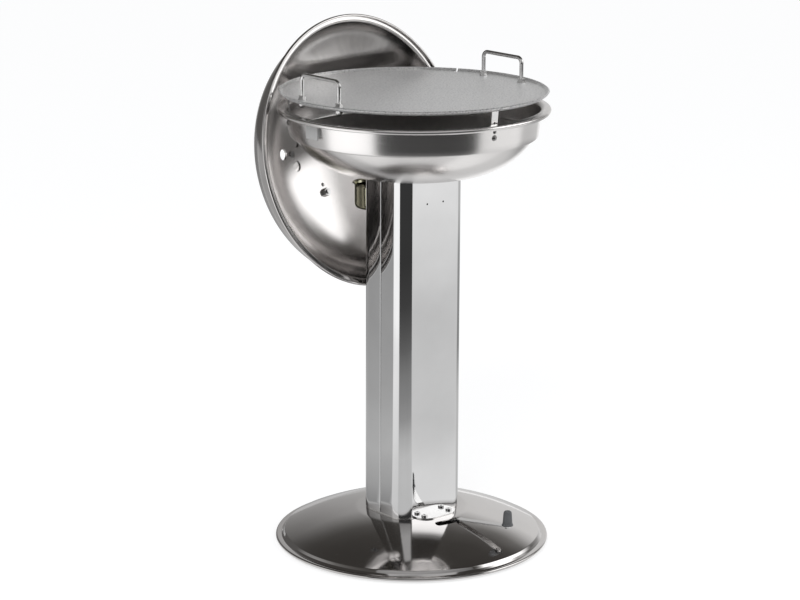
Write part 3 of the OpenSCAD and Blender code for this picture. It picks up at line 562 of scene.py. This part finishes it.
PLATE_TOP, PLATE_SHEET = 803.5, 3
SLIT_HALF, SLITS = 1.8, (-92.5, 30, 150)  # half width, directions of the strips' slits
top = [(0, PLATE_TOP), (224.5, PLATE_TOP)] + bow((226.5, 803.9), (232.6, 809.5), -0.5, 10)
top = rounded(top, {1: 6}, 6)
griddle = lathe("griddle_disc", top + beside(top, -PLATE_SHEET)[::-1])
carve(griddle, [prism([(213, -SLIT_HALF), (245, -SLIT_HALF), (245, SLIT_HALF), (213, SLIT_HALF)],
                      795, 825, place=Matrix.Rotation(math.radians(a), 4, "Z")) for a in SLITS])
finish_piece(griddle, "griddle", griddle_steel, "griddle_steel", "griddle_plate")

# ---------------------------------------------------------------- lid shell

DOME_R, DOME_H, FLANGE_Z, FLANGE_R = 228, 132.8, 6, 236.6
LID_SHEET, LID_BEAD_R = 2, 3
DOME_STEPS = 60
dome = [(DOME_R * math.sin(math.radians(a)), FLANGE_Z + DOME_H * math.cos(math.radians(a)))
        for a in [k * 90 / DOME_STEPS for k in range(DOME_STEPS + 1)]]
# extra rings keep the shading of the narrow flange flat
flange = [(r, FLANGE_Z) for r in (229.8, 230.2, 236.2, FLANGE_R)]
dome = (rounded(dome + [flange[-1]], {DOME_STEPS: 2.0}, 4)[:-1] + flange
        + arc(FLANGE_R, FLANGE_Z - LID_BEAD_R, LID_BEAD_R, 80, -120, 20))
inner = beside(dome, LID_SHEET)
summit = FLANGE_Z + DOME_H
lid = lathe("lid_dome", [(0, summit - LID_SHEET), (0, summit)] + dome[1:] + inner[:0:-1],
            place=LID_PLACE)


def on_dome(direction, r):
    """The place on the dome in this direction at this distance from its middle, Z outward."""
    height = math.sqrt(1 - (r / DOME_R) ** 2)
    slope = math.atan(DOME_H / DOME_R * r / DOME_R / height)
    return (LID_PLACE @ Matrix.Rotation(math.radians(direction), 4, "Z")
            @ Matrix.Translation(Vector((r, 0, FLANGE_Z + DOME_H * height)) * MM)
            @ Matrix.Rotation(slope, 4, "Y"))


VENT_HOLE_R, VENT_HOLE_X = 10, 24  # size and distance from the vent's middle
vent = on_dome(190, 58.5)
carve(lid, [cylinder(VENT_HOLE_R, -15, 15, vent @ Matrix.Rotation(math.radians(a), 4, "Z")
                     @ Matrix.Translation(Vector((VENT_HOLE_X, 0, 0)) * MM))
            for a in (-4, 116, 236)])
finish_piece(lid, "lid", lid_steel, "polished_steel", "lid_shell")

# ---------------------------------------------------------------- stage, light and camera (metres)

SEEN_BY = ("Is Camera Ray", "Is Glossy Ray", "Is Transmission Ray")


def rays(tree, names=SEEN_BY):
    """1 for the named kinds of ray, 0 for the others."""
    light_path = tree.nodes.new("ShaderNodeLightPath")
    total = light_path.outputs[names[0]]
    for r in names[1:]:
        total = math_node(tree, "MAXIMUM", total, light_path.outputs[r])
    return total


def grey_ramp(tree, value, *stops):
    return ramp(tree, value, *[(pos, (v, v, v)) for pos, v in stops])


def empty_material(name):
    mat = bpy.data.materials.new(name)
    mat.use_nodes = True
    mat.node_tree.nodes.clear()
    return mat, mat.node_tree, mat.node_tree.nodes.new("ShaderNodeOutputMaterial")


def azimuth(tree, ux, uy):
    """The direction about Z, from 0 at -180 degrees to 1 at 180."""
    angle = math_node(tree, "ARCTAN2", uy, ux)
    return math_node(tree, "MULTIPLY_ADD", angle, 0.5 / math.pi)


def at(a):
    """The azimuth's value in the direction a in degrees."""
    return (a + 180) / 360


def sector(tree, az, a0, a1, soft=3.0):
    """1 between the directions a0 and a1 in degrees, 0 elsewhere."""
    return grey_ramp(tree, az, (at(a0 - soft), 0.0), (at(a0 + soft), 1.0), (at(a1 - soft), 1.0),
                     (at(a1 + soft), 0.0))


def joined(tree, kind, colour, other):
    """The colour times or plus (MULTIPLY or ADD) another colour or socket."""
    m = node(tree, "ShaderNodeMix", data_type="RGBA", blend_type=kind)
    m.inputs[0].default_value = 1.0
    tree.links.new(colour, m.inputs["A"])
    if isinstance(other, tuple):
        m.inputs["B"].default_value = (*other, 1)
    else:
        tree.links.new(other, m.inputs["B"])
    return m.outputs["Result"]


def glowing(tree, colour):
    glow = node(tree, "ShaderNodeEmission", Strength=1.0)
    tree.links.new(colour, glow.inputs["Color"])
    return glow.outputs[0]


def choose(tree, factor, a, b):
    """Shader a where the factor is 0, shader b where it is 1."""
    mix = tree.nodes.new("ShaderNodeMixShader")
    for i, value in enumerate((factor, a, b)):
        tree.links.new(value, mix.inputs[i])
    return mix.outputs[0]


# floor: white paper. It glows for the camera and is matt for other light, so that its shadow
# stays. For the metal it glows with painted shade: darker tones where cards and grill would shade a
# studio floor.
FLOOR_R = 14.0
FLOOR_REACH = 3.0  # the tones are laid out over this distance from the middle
FLOOR_WHITE = 1.12
FLOOR_GLOW = 0.665  # for the camera
FLOOR_MATT = 0.42
# painted shade: these tones darken the floor that the metal sees, near the grill and in some
# directions
FLOOR_TONES = ((0.08, 0.64), (0.22, 0.74), (0.45, 0.88), (0.55, 1.02), (1.0, 1.05))
FLOOR_SECTORS = (  # from, to, tones by distance
    (66, 98, ((0.06, 0.20), (0.13, 0.46), (0.27, 0.48), (0.38, 0.38), (0.52, 0.30), (0.75, 0.24),
              (1.0, 0.20))),
    (46, 66, ((0.06, 0.20), (0.13, 0.46), (0.27, 0.48), (0.38, 0.42), (0.60, 0.42), (1.0, 0.52))),
    (24, 46, ((0.08, 0.55), (0.27, 0.60), (0.36, 0.90), (1.0, 0.95))),
    (98, 147, ((0.06, 0.18), (0.13, 0.38), (0.20, 0.47), (0.35, 0.38), (0.7, 0.33), (1.0, 0.36))),
    (-20, 24, ((0.08, 0.52), (0.22, 0.54), (0.32, 0.50), (0.45, 0.26), (0.75, 0.30),
               (0.95, 0.50))),
    (-72, -20, ((0.08, 0.76), (0.15, 0.76), (0.20, 0.70), (0.27, 0.62), (0.55, 0.61),
                (0.70, 0.67), (0.80, 0.74), (0.95, 0.82))),
    (-164, -72, ((0.08, 0.55), (0.20, 0.57), (0.245, 0.45), (0.285, 0.31), (0.34, 0.24),
                 (0.39, 0.205), (0.45, 0.14))))
mat, tree, out = empty_material("floor_paper")
radius, ux, uy, _ = round_coords(tree)
az = azimuth(tree, ux, uy)
reach = math_node(tree, "DIVIDE", radius, FLOOR_REACH)
tone = grey_ramp(tree, reach, *FLOOR_TONES)
for a0, a1, stops in FLOOR_SECTORS:
    tone = blend(tree, sector(tree, az, a0, a1), tone, grey_ramp(tree, reach, *stops))
far = grey_ramp(tree, math_node(tree, "DIVIDE", radius, FLOOR_R), (0.30, 1.0), (0.38, 0.12))
# painted shade: the floor the metal sees darkens far off towards the front
tone = blend(tree, sector(tree, az, -76, -4), tone, joined(tree, "MULTIPLY", tone, far))
patches = grey_ramp(tree, noise_at(tree, 1.6, 2), (0.3, FLOOR_WHITE * 0.97),
                    (0.7, FLOOR_WHITE * 1.03))
tone = joined(tree, "MULTIPLY", tone, patches)
glow = glowing(tree, blend(tree, rays(tree, SEEN_BY[:1]), tone, FLOOR_GLOW))
matt = node(tree, "ShaderNodeBsdfDiffuse")
matt.inputs["Color"].default_value = (FLOOR_MATT, FLOOR_MATT, FLOOR_MATT, 1)
lit = tree.nodes.new("ShaderNodeAddShader")
tree.links.new(glow, lit.inputs[0])
tree.links.new(matt.outputs[0], lit.inputs[1])
direct = choose(tree, rays(tree, SEEN_BY[:1]), matt.outputs[0], lit.outputs[0])
tree.links.new(choose(tree, rays(tree, SEEN_BY[1:]), direct, glow), out.inputs[0])
bm = bmesh.new()
bmesh.ops.create_circle(bm, cap_ends=True, segments=96, radius=FLOOR_R)
floor = new_object("floor", bm)
floor.location.z = -0.0005  # just under the feet
floor.data.materials.append(mat)


def metal_only(ob):
    """Makes a piece seen by mirrors alone."""
    ob.visible_camera = ob.visible_diffuse = ob.visible_shadow = False
    ob.visible_transmission = ob.visible_volume_scatter = False


# painted reflection: a standing card in front that glows dark tones for the metal alone, in the
# place of a studio's black cards
CARD_R, CARD_TOP, CARD_FROM, CARD_TO, CARD_STEPS = 1.35, 3.2, -163, -73, 32
CARD_TONES = ((0.0, 0.15), (0.015, 0.105), (0.035, 0.06), (0.065, 0.042), (0.25, 0.045),
              (0.38, 0.34), (0.5, 0.48))  # by height
bm = bmesh.new()
edges = []
for i in range(CARD_STEPS + 1):
    a = math.radians(CARD_FROM + (CARD_TO - CARD_FROM) * i / CARD_STEPS)
    edges.append([bm.verts.new((CARD_R * math.cos(a), CARD_R * math.sin(a), z))
                  for z in (0.0, CARD_TOP)])
for (a, b), (c, d) in zip(edges, edges[1:]):
    bm.faces.new((a, c, d, b))
card = new_object("front_card", bm)
mat, tree, out = empty_material("card_painted_reflection")
up = math_node(tree, "DIVIDE", height_of(tree), CARD_TOP)
tree.links.new(glowing(tree, grey_ramp(tree, up, *CARD_TONES)), out.inputs[0])
card.data.materials.append(mat)
metal_only(card)

# painted reflections: a glowing studio hall with a broad bright panel on the right and dark
# overhead, seen by the metal alone
HALL_R = 7.0
HALL_SHIFTS = ((52, 100, 6.0, -0.07), (-14, -6, 4.0, -0.04), (30, 46, 4.0, -0.04))
HALL_RISE = ((0.0, (1, 1, 1)), (0.36, (1, 1, 1)), (0.44, (0.72, 0.72, 0.72)),
             (0.50, (0.42, 0.42, 0.415)), (0.56, (0.18, 0.178, 0.175)),
             (0.66, (0.06, 0.058, 0.056)), (0.76, (0.02, 0.019, 0.018)), (1.0, (0.0, 0.0, 0.0)))
PANEL_RISE = ((0.64, 1.0), (0.71, 0.85), (0.75, 0.15), (0.79, 0.0))
SKIRT_RISE = ((0.19, 0.05), (0.27, 1.0))
HALL_TURN = (  # direction and brightness
    (-180, 0.60), (-158, 0.60), (-120, 0.30), (-78, 0.14), (-65, 0.14), (-57, 1.6), (-19, 1.6),
    (-13, 0.90), (-8, 0.72), (-2, 0.10), (12, 0.30), (20, 0.68), (44, 0.60), (50, 0.43),
    (60, 0.31), (70, 0.17), (80, 0.06), (110, 0.06), (130, 0.30), (150, 0.60), (180, 0.60))
OVERHEAD = (0.044, 0.041, 0.038)
bm = bmesh.new()
bmesh.ops.create_uvsphere(bm, u_segments=96, v_segments=48, radius=HALL_R)
bmesh.ops.delete(bm, geom=[v for v in bm.verts if v.co.z < -0.01], context="VERTS")
hall = new_object("hall", bm, 180)
mat, tree, out = empty_material("hall_painted_reflection")
_, ux, uy, z = round_coords(tree)
az = azimuth(tree, ux, uy)
height = lower = math_node(tree, "DIVIDE", z, HALL_R)
for a0, a1, soft, shift in HALL_SHIFTS:
    lower = math_node(tree, "MULTIPLY_ADD", sector(tree, az, a0, a1, soft), shift, lower)
rise = blend(tree, sector(tree, az, -61, -16, 4.0), ramp(tree, lower, *HALL_RISE),
             grey_ramp(tree, height, *PANEL_RISE))
skirt = grey_ramp(tree, height, *SKIRT_RISE)
rise = blend(tree, sector(tree, az, -60, -4), rise, joined(tree, "MULTIPLY", rise, skirt))
turn_tone = grey_ramp(tree, az, *[(at(a), v) for a, v in HALL_TURN])
walls = joined(tree, "MULTIPLY", rise, turn_tone)
tree.links.new(glowing(tree, joined(tree, "ADD", walls, OVERHEAD)), out.inputs[0])
hall.data.materials.append(mat)
metal_only(hall)

# world: a plain light for what is matt, white for the camera
world = bpy.data.worlds.new("studio")
bpy.context.scene.world = world
world.use_nodes = True
tree = world.node_tree
tree.nodes.clear()
out = tree.nodes.new("ShaderNodeOutputWorld")
plain, white = [node(tree, "ShaderNodeBackground", Color=colour, Strength=strength)
                for colour, strength in (((0.97, 0.98, 1.0, 1), 0.75), ((1, 1, 1, 1), 1.0))]
tree.links.new(choose(tree, rays(tree), plain.outputs[0], white.outputs[0]), out.inputs[0])

LAMP_AIM = Vector((0, 0, 0.5))


def soft_light(name, where, size, power):
    data = bpy.data.lights.new(name, "AREA")
    data.shape = "DISK"
    data.size, data.energy = size, power
    ob = bpy.data.objects.new(name, data)
    ob.location = where
    ob.rotation_euler = (LAMP_AIM - Vector(where)).to_track_quat("-Z", "Y").to_euler()
    ob.visible_glossy = False
    bpy.context.scene.collection.objects.link(ob)


soft_light("key", (-2.2, -1.6, 2.8), 1.6, 38)
soft_light("fill", (2.4, -2.2, 1.8), 2.0, 18)

# the camera, as solved from the photograph
FOCAL_PIXELS, PICTURE_PIXELS, SENSOR = 2492.8, 800, 36
CAMERA_AZ, CAMERA_DIP, CAMERA_ROLL = math.radians(-40.0), 0.2526, 0.0044
CAMERA_RIGHT, CAMERA_BACK, CAMERA_UP = -0.0225, 4.2292, 1.5276
scene = bpy.context.scene
scene.view_settings.view_transform = "Standard"
right = Vector((math.cos(CAMERA_AZ), math.sin(CAMERA_AZ), 0))
ahead = Vector((-math.sin(CAMERA_AZ), math.cos(CAMERA_AZ), 0))
camera_data = bpy.data.cameras.new("camera")
camera_data.sensor_width = SENSOR
camera_data.lens = FOCAL_PIXELS / PICTURE_PIXELS * SENSOR
camera_data.clip_end = 60
camera = bpy.data.objects.new("camera", camera_data)
scene.collection.objects.link(camera)
camera.matrix_world = (
    Matrix.Translation(CAMERA_RIGHT * right - CAMERA_BACK * ahead + Vector((0, 0, CAMERA_UP)))
    @ Matrix.Rotation(CAMERA_AZ, 4, "Z") @ Matrix.Rotation(math.pi / 2 - CAMERA_DIP, 4, "X")
    @ Matrix.Rotation(CAMERA_ROLL, 4, "Z"))
scene.camera = camera
